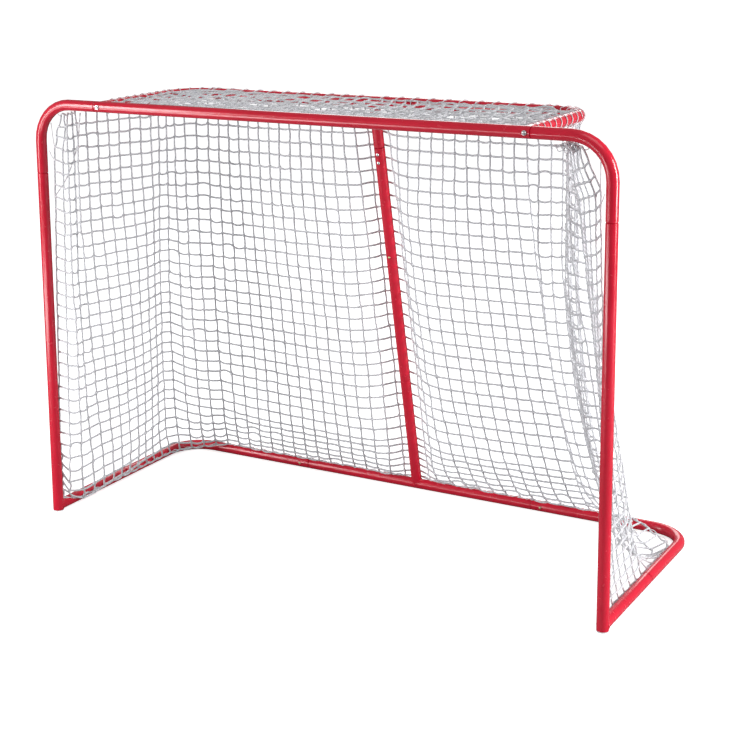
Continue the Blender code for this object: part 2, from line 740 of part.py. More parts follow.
def make_arm_lacing(name, side):
    """Cord wound round one arm of the top frame, one turn to each half cell of the net."""
    turns = EDGE_CELLS["arm"] * TURNS_PER_CELL - 1
    pitch = (TOP_DEPTH - BEND_RADIUS) / (turns + 1)
    # The border hangs three quarters of a turn round, half a pitch past one of its knots.
    first_y = 0.75 * pitch
    points = []
    for i in range(LACE_START, turns * LACE_POINTS):
        turn = 2 * math.pi * i / LACE_POINTS
        points.append(lace_point(side, turn, first_y + pitch * i / LACE_POINTS))
    gap = least_gap(points, LACE_POINTS // 2, LACE_D)
    print(name, "turns %d, least gap to itself %.1f mm" % (turns, gap * 1000))
    return swept_object(name, [(point, LACE_D / 2) for point in points], NET_WHITE, 6)


def least_gap(points, apart, diameter):
    """Least clear distance between stretches of a cord that are more than apart points away."""
    least = math.inf
    for i, point in enumerate(points):
        for other in points[i + apart:]:
            least = min(least, (point - other).length - diameter)
    return least


def build():
    make_frame()
    for label, side in (("left", -1), ("right", 1)):
        make_arm_fixing(label, side)
        make_foot_cap("foot_cap_" + label, side)
        make_side_nets(label, side)
        make_arm_lacing("arm_lacing_" + label, side)
    make_back_net()
    make_top_net()


build()
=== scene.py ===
"""Floorball goal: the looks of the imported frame.

The frame's tubes, fasteners and buttons keep their shapes and get their finishes. The net is
hung again here with its real mesh: a grid of knots falls under gravity between the bars that
it is tied to, and every cord, knot, border, stitch and lacing follows from where they settle.
"""

import json
import math

import bpy
import numpy as np
from mathutils import Matrix, Vector


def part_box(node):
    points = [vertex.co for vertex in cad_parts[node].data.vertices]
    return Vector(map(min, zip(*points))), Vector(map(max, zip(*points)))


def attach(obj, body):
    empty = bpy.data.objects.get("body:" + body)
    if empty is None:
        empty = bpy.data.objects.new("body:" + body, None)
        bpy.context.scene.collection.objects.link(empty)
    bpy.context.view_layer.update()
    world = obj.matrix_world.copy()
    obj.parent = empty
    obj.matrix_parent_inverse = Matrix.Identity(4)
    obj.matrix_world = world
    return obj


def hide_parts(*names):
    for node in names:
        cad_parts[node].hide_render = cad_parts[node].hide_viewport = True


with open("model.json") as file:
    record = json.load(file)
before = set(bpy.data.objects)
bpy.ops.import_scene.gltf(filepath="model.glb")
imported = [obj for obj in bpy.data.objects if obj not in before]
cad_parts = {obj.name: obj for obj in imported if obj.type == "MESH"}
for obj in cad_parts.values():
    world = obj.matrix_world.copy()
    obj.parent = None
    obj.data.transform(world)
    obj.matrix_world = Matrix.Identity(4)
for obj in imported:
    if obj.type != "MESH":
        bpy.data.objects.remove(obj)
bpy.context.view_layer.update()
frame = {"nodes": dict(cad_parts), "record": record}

# The photograph's camera. Places are in metres, with y from the plane of the two posts.
CAMERA_PLACE = (2.0349, -3.3641, 1.6540)
CAMERA_AZIMUTH = 31.119
CAMERA_ELEVATION = 11.233
CAMERA_ROLL = -0.875
PHOTO_WIDTH = 732
FOCAL_PX = 1607.8
CENTRE_PX = (300, 235)
SENSOR = 36.0

# Bend radius of every corner and depth of the base, on the tubes' axes. The other sizes of the
# frame are read from its nodes.
BEND = 0.100
BASE_DEPTH = 0.650

# Radii of the cords and knots, and the gap between a border cord and its tube.
CORD_R = 0.0029
UPRIGHT_R = 0.0026
BORDER_R = 0.0026
KNOT_R = 0.0040
LACE_R = 0.0012
BORDER_GAP = 0.0020
CORD_SIDES = 6
CORD_STEPS = 4
KNOT_LENGTH = 1.35
KNOT_SIZES = (0.85, 1.15)
KNOT_LEAN = 0.35

# Cells of the back and sides. The width goes from LOW to TOP as the height's share to the power
# FALL, and the height differs over the columns near the posts.
ROWS = 34
HALF_COLUMNS = 33
CELL_WIDE_LOW = 0.0433
CELL_WIDE_TOP = 0.0352
CELL_WIDE_FALL = 0.6
CELL_HIGH = 0.0363
CELL_HIGH_FRONT = 0.0338
FRONT_COLUMNS = 12
FRONT_FADE = 8
LENGTH_SPREAD = 0.020

# Cell heights in the lowest rows: drawn up at the rear bar, loose at the two sides, and taut in
# the first columns beside the right post.
FOOT_ROWS = 6
FOOT_HIGH_BACK = 0.0225
FOOT_HIGH_SIDES = (0.0390, 0.0570)
FOOT_HIGH_POST = 0.0275
FOOT_TAUT_COLUMNS = 6

# Columns drawn together beside the right post, out of those of its side.
GATHERED_COLUMNS = 4
GATHERED_WIDE = 0.45
SIDE_COLUMNS = 15

# The net's front edge: its place round the post, low down and above, and its last tie on it.
POST_ROWS = 31
POST_EDGE_ANGLE = math.radians(30)
POST_FOOT_ANGLE = math.radians(80)
EDGE_OFF = 0.010
FOOT_EDGE = 0.0272
POST_TIE_HEIGHT = 1.045
POST_TIE_OFF = 0.010

# Short ties across each elbow: the row of the edge, and degrees round the elbow's centre.
STAYS = ((POST_ROWS - 1, -20), (POST_ROWS, 35), (ROWS, 60))
STAY_BEHIND = 0.006
STAY_SAG = 0.004
STAY_POINTS = 9

# Where the top and base edges are tied, and how far the base edge turns to the arms' inner side.
BAR_CORNER_X = 0.742
BAR_CORNER_DROP = 0.012
BAR_TIE_X = 0.705
BAR_TIE_Y = 0.012
ARM_TIE_Y = 0.240
REAR_CORNER_X = 0.660
BASE_START_Y = 0.030
BASE_INWARD = 0.85

# Roof panel over the top frame.
ROOF_ROWS = 10
ROOF_COLUMNS = 30
ROOF_SAG = 0.012
ROOF_JITTER = 0.0016
ROOF_SLACK = 1.05

# How the hanging net is worked out: it starts bellied inward, falls, and settles without speed.
SEED = 7
BELLY = 0.030
BELLY_Y = BASE_DEPTH / 4
KNOT_JITTER = 0.003
FALL_STEPS = 520
FALL_PASSES = 8
FALL_TICK = 1 / 90
FALL_DAMPING = 0.97
SETTLE_STEPS = 30
SETTLE_PASSES = 5
GRAVITY = 9.81
LEAST_LENGTH = 0.55
PUSH_SHARE = 0.3
TUBE_CLEAR = 0.0005
FLOOR_CLEAR = 0.003
BESIDE_UPRIGHT = 0.25

# How each cord bows off the line between its knots, as shares of its length.
MOST_BOW = 0.18
LEAST_BOW = 0.05
BOW_SHARES = (0.4, 1)
BOW_LEAN = 1.0

# Lacing and border cords. Angles round a tube are measured from its outer side towards the top.
ROOF_BORDER_ANGLE = math.radians(150)
TOP_BORDER_ANGLE = math.radians(281)
LACE_PITCH = 0.0340
REAR_PITCH = 0.0460
WIND_STEPS = 28
LACE_LIFT = 0.0004
BORDER_SWELL = 0.30
LACE_CLEAR = 0.012
ARM_LACE_CLEAR = 0.008
BINDING_PITCH = 0.0430
BINDING_R = 0.0028
BINDING_STEPS = 12

# The bunch under the crossbar's right end, from and to x, y and a drop below the bar.
BUNCH_FROM = (0.672, 0.010, 0.004)
BUNCH_TO = (0.738, 0.004, 0.010)
BUNCH_CORDS = 9
BUNCH_POINTS = 7
BUNCH_STARTS = 0.4
BUNCH_SPREAD = np.array([0.004, 0.005, 0.008])
BUNCH_STEPS = 6

# The drawn fold at the left: from the crossbar to a row of the front edge, by way of shares of
# the line between them, each moved aside.
FOLD_TOP = (-0.680, 0.004)
FOLD_ROW = 27
FOLD_WAY = ((0.4, (0.014, 0.012, 0)), (0.75, (0.014, 0.010, 0)))
FOLD_TURNS = 9
FOLD_STEPS = 16

# Weld beads: the ripple is a share of the radius, and so many steps long.
WELD_R = 0.0017
WELD_RIPPLE = 0.14
RIPPLE_STEPS = 4
WELD_STEPS = 96
WELD_SIDES = 8

# Finishes: dark and light tones of each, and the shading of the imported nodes.
RED_TONES = ((0.59, 0.004, 0.025), (0.67, 0.007, 0.033))
ZINC_TONES = ((0.58, 0.59, 0.60), (0.78, 0.78, 0.77))
YELLOW_ZINC_TONES = ((0.50, 0.40, 0.20), (0.68, 0.60, 0.36))
STRIP_TONES = ((0.26, 0.26, 0.28), (0.42, 0.42, 0.45))
PLASTIC_TONES = ((0.68, 0.68, 0.70), (0.78, 0.78, 0.80))
# The net's and the lacing's dark tones are painted shade in the cords' grooves; their light tones
# are the cords' own colour.
NET_TONES = ((0.44, 0.44, 0.46), (0.75, 0.75, 0.78))
LACE_TONES = ((0.55, 0.53, 0.56), (0.80, 0.78, 0.81))
FLOOR_TONES = ((0.92, 0.92, 0.92), (0.94, 0.94, 0.94))
SAME_PLACE = 0.00001
CRISP_ANGLE = math.radians(32)

# The studio. The camera sees a white room and a floor that glows a little, and both are dimmer
# for the light that they give the goal.
ROOM_COLOUR = (0.97, 0.98, 1, 1)
ROOM_STRENGTH = 0.30
FLOOR_REACH = 30
FLOOR_GLOW = 0.72
FLOOR_BOUNCE = (0.33, 0.33, 0.34, 1)
SUN_STRENGTH = 0.6
SUN_SIZE = math.radians(40)
SUN_TILT = (math.radians(22), math.radians(18), 0)

# Soft lights: name, place, the point that it faces, width, height and radiance.
SOFT_LIGHTS = (
    ("left_box", (-2.8, -3.1, 1.45), (-0.5, 0, 0.8), 0.8, 2.3, 14),
    ("right_box", (3.9, 0.3, 1.45), (0.5, 0, 0.7), 1.0, 2.3, 22),
    ("back_box", (-1.6, 4.4, 2.6), (0, 0.3, 0.6), 3.0, 1.6, 3.5),
    ("low_band", (-1.4, -2.05, 0.12), (-0.2, 0, 1.16), 2.6, 0.34, 8))

X_AXIS = np.array([1.0, 0, 0])
Y_AXIS = np.array([0, 1.0, 0])
Z_AXIS = np.array([0, 0, 1.0])

# Lengths too short to divide by, and how steep a cord is before its frame starts from x.
NO_LENGTH = 1e-12
NO_GAP = 1e-9
STEEP = 0.9


def middle(node, axis):
    low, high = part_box(node)
    return (low[axis] + high[axis]) / 2


TUBE_R = (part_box("post_right")[1].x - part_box("post_right")[0].x) / 2
POST_X = middle("post_right", 0)
POST_Y = middle("post_right", 1)
BAR_Z = middle("crossbar", 2)
BASE_Z = middle("base_rear_bar", 2)
TOP_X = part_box("top_frame")[1].x - TUBE_R
TOP_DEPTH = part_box("top_frame")[1].y - TUBE_R - POST_Y
OFF_TUBE = TUBE_R + BORDER_GAP


def at(x, y, z):
    """A point given from the plane of the posts."""
    return np.array([x, POST_Y + y, z], float)


def unit(vectors):
    return vectors / np.maximum(np.linalg.norm(vectors, axis=-1, keepdims=True), NO_LENGTH)


def distances(path):
    """How far along a path of points each of them is."""
    return np.concatenate([[0], np.cumsum(np.linalg.norm(np.diff(path, axis=0), axis=1))])


def evenly(path, cells):
    """The ends of so many equal steps along a path of points."""
    path = np.array(path)
    run = distances(path)
    places = np.linspace(0, run[-1], cells + 1)
    return np.stack([np.interp(places, run, path[:, k]) for k in range(3)], axis=1)


def arc_path(centre, start, end, steps=10):
    """A quarter turn of the bends' radius, from one direction round to another."""
    turns = np.linspace(0, math.pi / 2, steps + 1)[:, None]
    return centre + BEND * (np.cos(turns) * start + np.sin(turns) * end)


def half_base():
    """From the right post along the base arm and over to the middle of the rear bar."""
    return [
        at(POST_X, BASE_START_Y, BASE_Z), at(POST_X, BASE_DEPTH - BEND, BASE_Z),
        at(REAR_CORNER_X, BASE_DEPTH, BASE_Z), at(0, BASE_DEPTH, BASE_Z)]


def half_top():
    """Column ends from the crossbar's corner, where the first few are gathered close together,
    along the top frame to the middle of its rear bar."""
    corner = at(BAR_CORNER_X, 0, BAR_Z - BAR_CORNER_DROP)
    tie = at(BAR_TIE_X, BAR_TIE_Y, BAR_Z)
    bend = arc_path(at(TOP_X - BEND, TOP_DEPTH - BEND, BAR_Z), X_AXIS, Y_AXIS)
    rest = [tie, at(TOP_X, ARM_TIE_Y, BAR_Z), *bend, at(0, TOP_DEPTH, BAR_Z)]
    return np.concatenate([
        evenly([corner, tie], GATHERED_COLUMNS),
        evenly(rest, HALF_COLUMNS - GATHERED_COLUMNS)[1:]])


def both_halves(half):
    """Points of the whole edge, left post to right post, from those of its right half."""
    mirror = half * np.array([-1, 1, 1])
    return np.concatenate([mirror, half[::-1][1:]])


def net_tubes():
    """Start and end of each straight stretch of tube that the net can lie on."""
    tubes = []
    for side in (-1, 1):
        bend = arc_path(
            at(side * (POST_X - BEND), BASE_DEPTH - BEND, BASE_Z), X_AXIS * side, Y_AXIS, steps=3)
        tubes += [
            (at(side * POST_X, 0, 0), at(side * POST_X, 0, BAR_Z - BEND)),
            (at(side * POST_X, 0, BASE_Z), at(side * POST_X, BASE_DEPTH - BEND, BASE_Z)),
            (at(side * TOP_X, 0, BAR_Z), at(side * TOP_X, TOP_DEPTH - BEND, BAR_Z)),
            *zip(bend[:-1], bend[1:])]
    tubes.append((at(BEND - POST_X, BASE_DEPTH, BASE_Z), at(POST_X - BEND, BASE_DEPTH, BASE_Z)))
    return tubes


class HangingNet:
    """A grid of knots, row by row from the floor up. Its cords pull, and hardly push."""

    def __init__(self):
        chance = np.random.default_rng(SEED)
        base = both_halves(evenly(half_base(), HALF_COLUMNS))
        top = both_halves(half_top())
        up = unit(top - base)
        self.behind = np.array([0, up[HALF_COLUMNS][2], -up[HALF_COLUMNS][1]])
        self.set_back = {
            HALF_COLUMNS - 1: BESIDE_UPRIGHT, HALF_COLUMNS: 1, HALF_COLUMNS + 1: BESIDE_UPRIGHT}
        low = base + self.base_side(base, up) * OFF_TUBE
        high = top - up * OFF_TUBE
        for column, share in self.set_back.items():
            low[column] += self.behind * share * (OFF_TUBE + CORD_R)
            high[column] += self.behind * share * (OFF_TUBE + CORD_R)
        share = np.linspace(0, 1, ROWS + 1)[:, None, None]
        self.knots = low * (1 - share) + high * share
        inward = unit(at(0, BELLY_Y, 0) - base) * np.array([1, 1, 0])
        self.knots += np.sin(np.pi * share) * BELLY * inward
        for column, side in ((0, -1), (-1, 1)):
            self.knots[:, column] = self.front_edge(side, high[column])
        self.knots[1:-1, 1:-1] += chance.normal(0, KNOT_JITTER, self.knots[1:-1, 1:-1].shape)
        self.free = np.ones(self.knots.shape[:2])
        self.free[[0, -1]] = 0
        self.free[:, [0, -1]] = 0
        spread = (1 - LENGTH_SPREAD, 1 + LENGTH_SPREAD)
        level = np.linspace(0, 1, ROWS + 1)[:, None] ** CELL_WIDE_FALL
        self.cell_wide = CELL_WIDE_LOW + (CELL_WIDE_TOP - CELL_WIDE_LOW) * level
        self.cell_wide = self.cell_wide * (1 + (self.gathering() - 1) * level)
        self.cell_high = self.heights()
        self.wide = self.cell_wide * chance.uniform(*spread, (ROWS + 1, 2 * HALF_COLUMNS))
        self.high = self.cell_high * chance.uniform(*spread, (ROWS, 2 * HALF_COLUMNS + 1))
        self.before = self.knots.copy()
        self.tubes = net_tubes()
        self.anchors = self.reaches()

    @staticmethod
    def base_side(base, up):
        """The side of the base tubes that the edge lies on: inside the arms, on the rear bar."""
        depth = base[:, 1:2] - POST_Y
        share = BASE_INWARD * np.clip((BASE_DEPTH - depth) / BEND, 0, 1)
        return unit(up * (1 - share) - np.sign(base[:, :1]) * X_AXIS * share)

    @staticmethod
    def gathering():
        """How wide each column of cells hangs. What the gathered ones leave over is spare width
        in the rest of the right side."""
        cell = np.arange(2 * HALF_COLUMNS)[::-1]
        spare = GATHERED_COLUMNS * (1 - GATHERED_WIDE) / (SIDE_COLUMNS - GATHERED_COLUMNS)
        beyond = np.where(cell < SIDE_COLUMNS, 1 + spare, 1)
        return np.where(cell < GATHERED_COLUMNS, GATHERED_WIDE, beyond)

    @staticmethod
    def heights():
        """Cell heights, row by row, for each column's cord."""
        column = np.arange(2 * HALF_COLUMNS + 1)
        from_edge = np.minimum(column, column[::-1])
        front = np.clip(1 - (from_edge - FRONT_COLUMNS) / FRONT_FADE, 0, 1)
        left, right = FOOT_HIGH_SIDES
        right = np.interp(from_edge, (FOOT_TAUT_COLUMNS, FRONT_COLUMNS), (FOOT_HIGH_POST, right))
        loose = np.where(column < HALF_COLUMNS, left, right)
        foot = np.clip(FOOT_ROWS - np.arange(ROWS), 0, 1)[:, None]
        upper = CELL_HIGH + (CELL_HIGH_FRONT - CELL_HIGH) * front
        lower = FOOT_HIGH_BACK + (loose - FOOT_HIGH_BACK) * front
        return upper + (lower - upper) * foot

    def front_edge(self, side, corner):
        """Up beside the post, then straight on to the corner under the crossbar."""
        def beside(angle, off):
            way = np.array([-side * math.cos(angle), math.sin(angle), 0])
            return at(side * POST_X, 0, 0) + way * off

        post = beside(POST_EDGE_ANGLE, OFF_TUBE + EDGE_OFF)
        foot = beside(POST_FOOT_ANGLE, OFF_TUBE) + Z_AXIS * (BASE_Z + OFF_TUBE)
        bend = foot + Z_AXIS * FOOT_ROWS * FOOT_EDGE
        tie = post + Z_AXIS * POST_TIE_HEIGHT - X_AXIS * side * POST_TIE_OFF
        return np.concatenate([
            np.linspace(foot, bend, FOOT_ROWS + 1),
            np.linspace(bend, tie, POST_ROWS - FOOT_ROWS + 1)[1:],
            np.linspace(tie, corner, ROWS - POST_ROWS + 1)[1:]])

    def reaches(self):
        """How far each knot can be from the edges above, below and beside it."""
        run = np.concatenate([np.zeros((ROWS + 1, 1)), np.cumsum(self.cell_wide, axis=1)], axis=1)
        rise = np.cumsum(self.cell_high, axis=0)
        rise = np.concatenate([np.zeros((1, self.free.shape[1])), rise])
        return (
            (self.knots[-1:].copy(), rise[-1] - rise),
            (self.knots[:1].copy(), rise),
            (self.knots[:, :1].copy(), run),
            (self.knots[:, -1:].copy(), run[:, -1:] - run))

    def hold(self):
        """Keep each knot within reach of the edges."""
        for anchor, reach in self.anchors:
            away = self.knots - anchor
            length = np.maximum(np.linalg.norm(away, axis=-1), NO_GAP)
            kept = np.where(self.free > 0, np.minimum(1, reach / length), 1)
            self.knots[:] = anchor + away * kept[..., None]

    @staticmethod
    def pull(a, b, free_a, free_b, rest):
        """Bring knots that are too far apart together, and push back weakly if too near."""
        gap = b - a
        length = np.linalg.norm(gap, axis=-1)
        shares = free_a + free_b
        near = np.minimum(length - rest * LEAST_LENGTH, 0)
        wrong = np.maximum(length - rest, 0) + near * PUSH_SHARE
        move = wrong / np.maximum(length, NO_GAP) / np.maximum(shares, NO_GAP)
        move = np.where(shares > 0, move, 0)[..., None] * gap
        a += move * free_a[..., None]
        b -= move * free_b[..., None]

    def tighten(self):
        """Pull every second cord of the rows and then the others, and the same up the columns."""
        knots, free = self.knots, self.free
        for start in (0, 1):
            last = 2 * HALF_COLUMNS - (start + 2 * HALF_COLUMNS) % 2
            near, far = slice(start, last, 2), slice(start + 1, last + 1, 2)
            self.pull(
                knots[:, near], knots[:, far], free[:, near], free[:, far], self.wide[:, near])
        for start in (0, 1):
            last = ROWS - (start + ROWS) % 2
            near, far = slice(start, last, 2), slice(start + 1, last + 1, 2)
            self.pull(knots[near], knots[far], free[near], free[far], self.high[near])

    def keep_out(self):
        """Push knots out of the tubes, behind the upright and off the floor."""
        for start, end in self.tubes:
            along = end - start
            share = np.clip((self.knots - start) @ along / (along @ along), 0, 1)
            away = self.knots - (start + share[..., None] * along)
            distance = np.linalg.norm(away, axis=-1)
            deep = np.maximum(TUBE_R + CORD_R + TUBE_CLEAR - distance, 0)
            push = deep / np.maximum(distance, NO_GAP)
            self.knots += away * (push * self.free)[..., None]
        foot = at(0, BASE_DEPTH, BASE_Z)
        for column, share in self.set_back.items():
            depth = (self.knots[:, column] - foot) @ self.behind
            short = np.maximum(share * (OFF_TUBE + CORD_R) - depth, 0) * self.free[:, column]
            self.knots[:, column] += short[:, None] * self.behind
        sunk = (self.knots[..., 2] < FLOOR_CLEAR) & (self.free > 0)
        self.knots[..., 2] = np.where(sunk, FLOOR_CLEAR, self.knots[..., 2])

    def fall(self):
        """Let the net fall and settle. Returns the knots."""
        fall = GRAVITY * FALL_TICK ** 2
        for _ in range(FALL_STEPS):
            speed = (self.knots - self.before) * FALL_DAMPING
            self.before[:] = self.knots
            self.knots += speed * self.free[..., None]
            self.knots[..., 2] -= fall * self.free
            self.hold()
            for _ in range(FALL_PASSES):
                self.tighten()
            self.keep_out()
        for _ in range(SETTLE_STEPS):
            self.hold()
            for _ in range(SETTLE_PASSES):
                self.tighten()
            self.keep_out()
        return self.knots


def bowed(a, b, rest, down, chance):
    """Points from knot a up to knot b. The slack bows each cord off its chord, as deep as a
    parabola of the cord's length is."""
    chord = b - a
    length = np.linalg.norm(chord, axis=-1)
    slack = np.maximum(rest - length, 0)
    depth = np.minimum(np.sqrt(3 / 8 * length * slack), MOST_BOW * rest)
    depth = np.maximum(depth, LEAST_BOW * rest) * chance.uniform(*BOW_SHARES, length.shape)
    lean = down + chance.normal(0, BOW_LEAN, chord.shape)
    along = unit(chord)
    side = unit(lean - (lean * along).sum(-1, keepdims=True) * along)
    share = np.arange(CORD_STEPS) / CORD_STEPS
    curve = 4 * share * (1 - share)
    points = a[..., None, :] + chord[..., None, :] * share[:, None]
    return points + (side * depth[..., None])[..., None, :] * curve[:, None]


def cord_lines(knots, wide, high, chance):
    """Each row's and each column's cord as one line of points."""
    rows = bowed(knots[:, :-1], knots[:, 1:], wide, -Z_AXIS, chance)
    rows = rows.reshape(knots.shape[0], -1, 3)
    rows = np.concatenate([rows, knots[:, -1:]], axis=1)
    sway = chance.choice([-1.0, 1.0], high.shape)[..., None] * X_AXIS
    columns = bowed(knots[:-1], knots[1:], high, sway, chance)
    columns = columns.transpose(1, 0, 2, 3).reshape(knots.shape[1], -1, 3)
    columns = np.concatenate([columns, knots[-1][:, None]], axis=1)
    return rows, columns


def sweep(lines, radius, sides=CORD_SIDES):
    """Round cords along lines of equally many points: vertices, lay and faces.

    The lay of a vertex is the cosine and sine of its place round the cord and the distance
    along it, from which the cord's material draws its twist."""
    lines = np.asarray(lines, float)
    count, steps = lines.shape[:2]
    tangent = unit(np.gradient(lines, axis=1))
    normal = np.empty_like(lines)
    helper = np.where(np.abs(tangent[:, :1, 2:]) > STEEP, X_AXIS, Z_AXIS)
    normal[:, 0] = unit(np.cross(tangent[:, 0], helper[:, 0]))
    for k in range(1, steps):
        carried = normal[:, k - 1]
        lean = (carried * tangent[:, k]).sum(-1, keepdims=True)
        normal[:, k] = unit(carried - lean * tangent[:, k])
    third = np.cross(tangent, normal)
    turn = 2 * np.pi * np.arange(sides) / sides
    cos, sin = np.cos(turn)[:, None], np.sin(turn)[:, None]
    radii = np.broadcast_to(radius, (count, steps))[..., None, None]
    ring = cos * normal[:, :, None] + sin * third[:, :, None]
    points = lines[:, :, None] + radii * ring
    run = np.linalg.norm(np.diff(lines, axis=1), axis=-1)
    run = np.concatenate([np.zeros((count, 1)), np.cumsum(run, axis=1)], axis=1)
    lay = np.empty(points.shape)
    lay[..., 0], lay[..., 1] = cos[:, 0], sin[:, 0]
    lay[..., 2] = run[..., None]
    first = (np.arange(count)[:, None] * steps + np.arange(steps - 1)[None, :])[..., None] * sides
    here, after = np.arange(sides), (np.arange(sides) + 1) % sides
    quads = np.stack([
        first + here, first + after, first + sides + after, first + sides + here], -1)
    faces = quads.reshape(-1, 4).tolist()
    for k in range(count):
        start = k * steps * sides
        end = start + (steps - 1) * sides
        faces.append(list(range(start + sides - 1, start - 1, -1)))
        faces.append(list(range(end, end + sides)))
    return points.reshape(-1, 3), lay.reshape(-1, 3), faces


def knot_forms(places, across, chance):
    """A small tight knot at each place: a ball drawn out along the cord that it is tied in."""
    rings, sides = 4, 6
    levels = np.pi * np.arange(1, rings) / rings
    turn = 2 * np.pi * np.arange(sides) / sides
    ball = [[0, 0, 1.0]]
    ball += [[math.sin(v) * math.cos(t), math.sin(v) * math.sin(t), math.cos(v)]
             for v in levels for t in turn]
    ball.append([0, 0, -1.0])
    ball = np.array(ball)
    faces = [[0, 1 + k, 1 + (k + 1) % sides] for k in range(sides)]
    for ring in range(rings - 2):
        a, b = 1 + ring * sides, 1 + (ring + 1) * sides
        faces += [[a + k, b + k, b + (k + 1) % sides, a + (k + 1) % sides] for k in range(sides)]
    last, bottom = 1 + (rings - 2) * sides, len(ball) - 1
    faces += [[last + k, bottom, last + (k + 1) % sides] for k in range(sides)]
    places = places.reshape(-1, 3)
    axis = unit(across.reshape(-1, 3) + chance.normal(0, KNOT_LEAN, places.shape))
    helper = np.where(np.abs(axis[:, 2:]) > STEEP, X_AXIS, Z_AXIS)
    one = unit(np.cross(axis, helper))
    two = np.cross(axis, one)
    size = KNOT_R * chance.uniform(*KNOT_SIZES, (len(places), 1, 1))
    ball = ball[None]
    points = places[:, None] + size * (
        ball[..., :1] * one[:, None] + ball[..., 1:2] * two[:, None]
        + KNOT_LENGTH * ball[..., 2:] * axis[:, None])
    lay = np.broadcast_to(ball * np.array([1, 1, KNOT_R]), points.shape)
    corners = ball.shape[1]
    moved = [[v + k * corners for v in face] for k in range(len(places)) for face in faces]
    return points.reshape(-1, 3), lay.reshape(-1, 3), moved


def piece(name, forms, material, stands_for=()):
    """One object from swept forms. It rides on the goal's frame."""
    points, lays, faces = [], [], []
    count = 0
    for form_points, form_lay, form_faces in forms:
        points.append(form_points)
        lays.append(form_lay)
        faces += [[v + count for v in face] for face in form_faces]
        count += len(form_points)
    mesh = bpy.data.meshes.new(name)
    mesh.from_pydata(np.concatenate(points).tolist(), [], faces)
    lay = mesh.attributes.new("lay", "FLOAT_VECTOR", "POINT")
    lay.data.foreach_set("vector", np.concatenate(lays).astype(np.float32).ravel())
    mesh.shade_smooth()
    mesh.materials.append(material)
    item = bpy.data.objects.new(name, mesh)
    bpy.context.scene.collection.objects.link(item)
    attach(item, "frame")
    if stands_for:
        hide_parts(*stands_for)


class Nodes:
    """A short way to wire a procedural material."""

    def __init__(self, name, colour, roughness, metallic=0.0):
        self.material = bpy.data.materials.new(name)
        self.material.use_nodes = True
        self.tree = self.material.node_tree
        self.shader = self.tree.nodes["Principled BSDF"]
        self.set("Base Color", (*colour, 1))
        self.set("Roughness", roughness)
        self.set("Metallic", metallic)
        self.material.diffuse_color = (*colour, 1)
        self.place = self.tree.nodes.new("ShaderNodeTexCoord").outputs["Object"]

    def set(self, socket, value):
        self.shader.inputs[socket].default_value = value

    def link(self, output, socket):
        self.tree.links.new(output, socket)

    def noise(self, scale, detail=2.0, stretch=None):
        node = self.tree.nodes.new("ShaderNodeTexNoise")
        node.inputs["Scale"].default_value = scale
        node.inputs["Detail"].default_value = detail
        place = self.place
        if stretch:
            mapping = self.tree.nodes.new("ShaderNodeMapping")
            mapping.inputs["Scale"].default_value = stretch
            self.link(place, mapping.inputs["Vector"])
            place = mapping.outputs["Vector"]
        self.link(place, node.inputs["Vector"])
        return node.outputs["Fac"]

    def spread(self, value, low, high, start=0.3, end=0.7):
        """The value's usual range, start to end, drawn out to low and high."""
        node = self.tree.nodes.new("ShaderNodeMapRange")
        for socket, number in (("From Min", start), ("From Max", end), ("To Min", low),
                               ("To Max", high)):
            node.inputs[socket].default_value = number
        self.link(value, node.inputs["Value"])
        return node.outputs["Result"]

    def tones(self, value, dark, light):
        """The base colour goes from dark to light with the value."""
        node = self.tree.nodes.new("ShaderNodeMix")
        node.data_type = "RGBA"
        colours = [socket for socket in node.inputs if socket.type == "RGBA"]
        colours[0].default_value = (*dark, 1)
        colours[1].default_value = (*light, 1)
        self.link(value, node.inputs["Factor"])
        mixed = next(socket for socket in node.outputs if socket.type == "RGBA")
        self.link(mixed, self.shader.inputs["Base Color"])

    def roughness(self, value, low, high):
        """The roughness goes from low to high over the value's usual range."""
        self.link(self.spread(value, low, high), self.shader.inputs["Roughness"])

    def math(self, operation, a, b=None):
        node = self.tree.nodes.new("ShaderNodeMath")
        node.operation = operation
        for socket, value in zip(node.inputs, (a, b)):
            if isinstance(value, (int, float)):
                socket.default_value = value
            elif value is not None:
                self.link(value, socket)
        return node.outputs["Value"]

    def bump(self, height, distance, strength=1.0):
        node = self.tree.nodes.new("ShaderNodeBump")
        node.inputs["Distance"].default_value = distance
        node.inputs["Strength"].default_value = strength
        self.link(height, node.inputs["Height"])
        self.link(node.outputs["Normal"], self.shader.inputs["Normal"])


def powder_coat():
    """Glossy red powder coat: an even colour, a little orange peel and slight clouding."""
    nodes = Nodes("red_powder_coat", colour=(0.60, 0.006, 0.022), roughness=0.22)
    nodes.tones(nodes.spread(nodes.noise(scale=7, detail=3), 0, 1), *RED_TONES)
    nodes.roughness(nodes.noise(scale=60, detail=3), low=0.17, high=0.28)
    nodes.set("Coat Weight", 0.3)
    nodes.set("Coat Roughness", 0.12)
    nodes.bump(nodes.noise(scale=420, detail=1.5), distance=0.00012, strength=0.35)
    return nodes.material


def plated(name, dark, light, low, high, scale):
    """Plated metal with the fine mottling of its surface."""
    nodes = Nodes(name, light, high, metallic=1.0)
    mottle = nodes.noise(scale, detail=4)
    nodes.tones(nodes.spread(mottle, 0, 1), dark, light)
    nodes.roughness(mottle, low, high)
    nodes.bump(nodes.noise(scale * 3), distance=0.00004, strength=0.5)
    return nodes.material


def spring_strip():
    """Rolled strip: fine lines run with the strip's length."""
    nodes = Nodes("rolled_spring_strip", colour=(0.34, 0.34, 0.36), roughness=0.35, metallic=1.0)
    lines = nodes.noise(scale=900, stretch=(1, 0.15, 0.15))
    nodes.tones(nodes.spread(lines, 0, 1), *STRIP_TONES)
    nodes.roughness(lines, low=0.28, high=0.45)
    return nodes.material


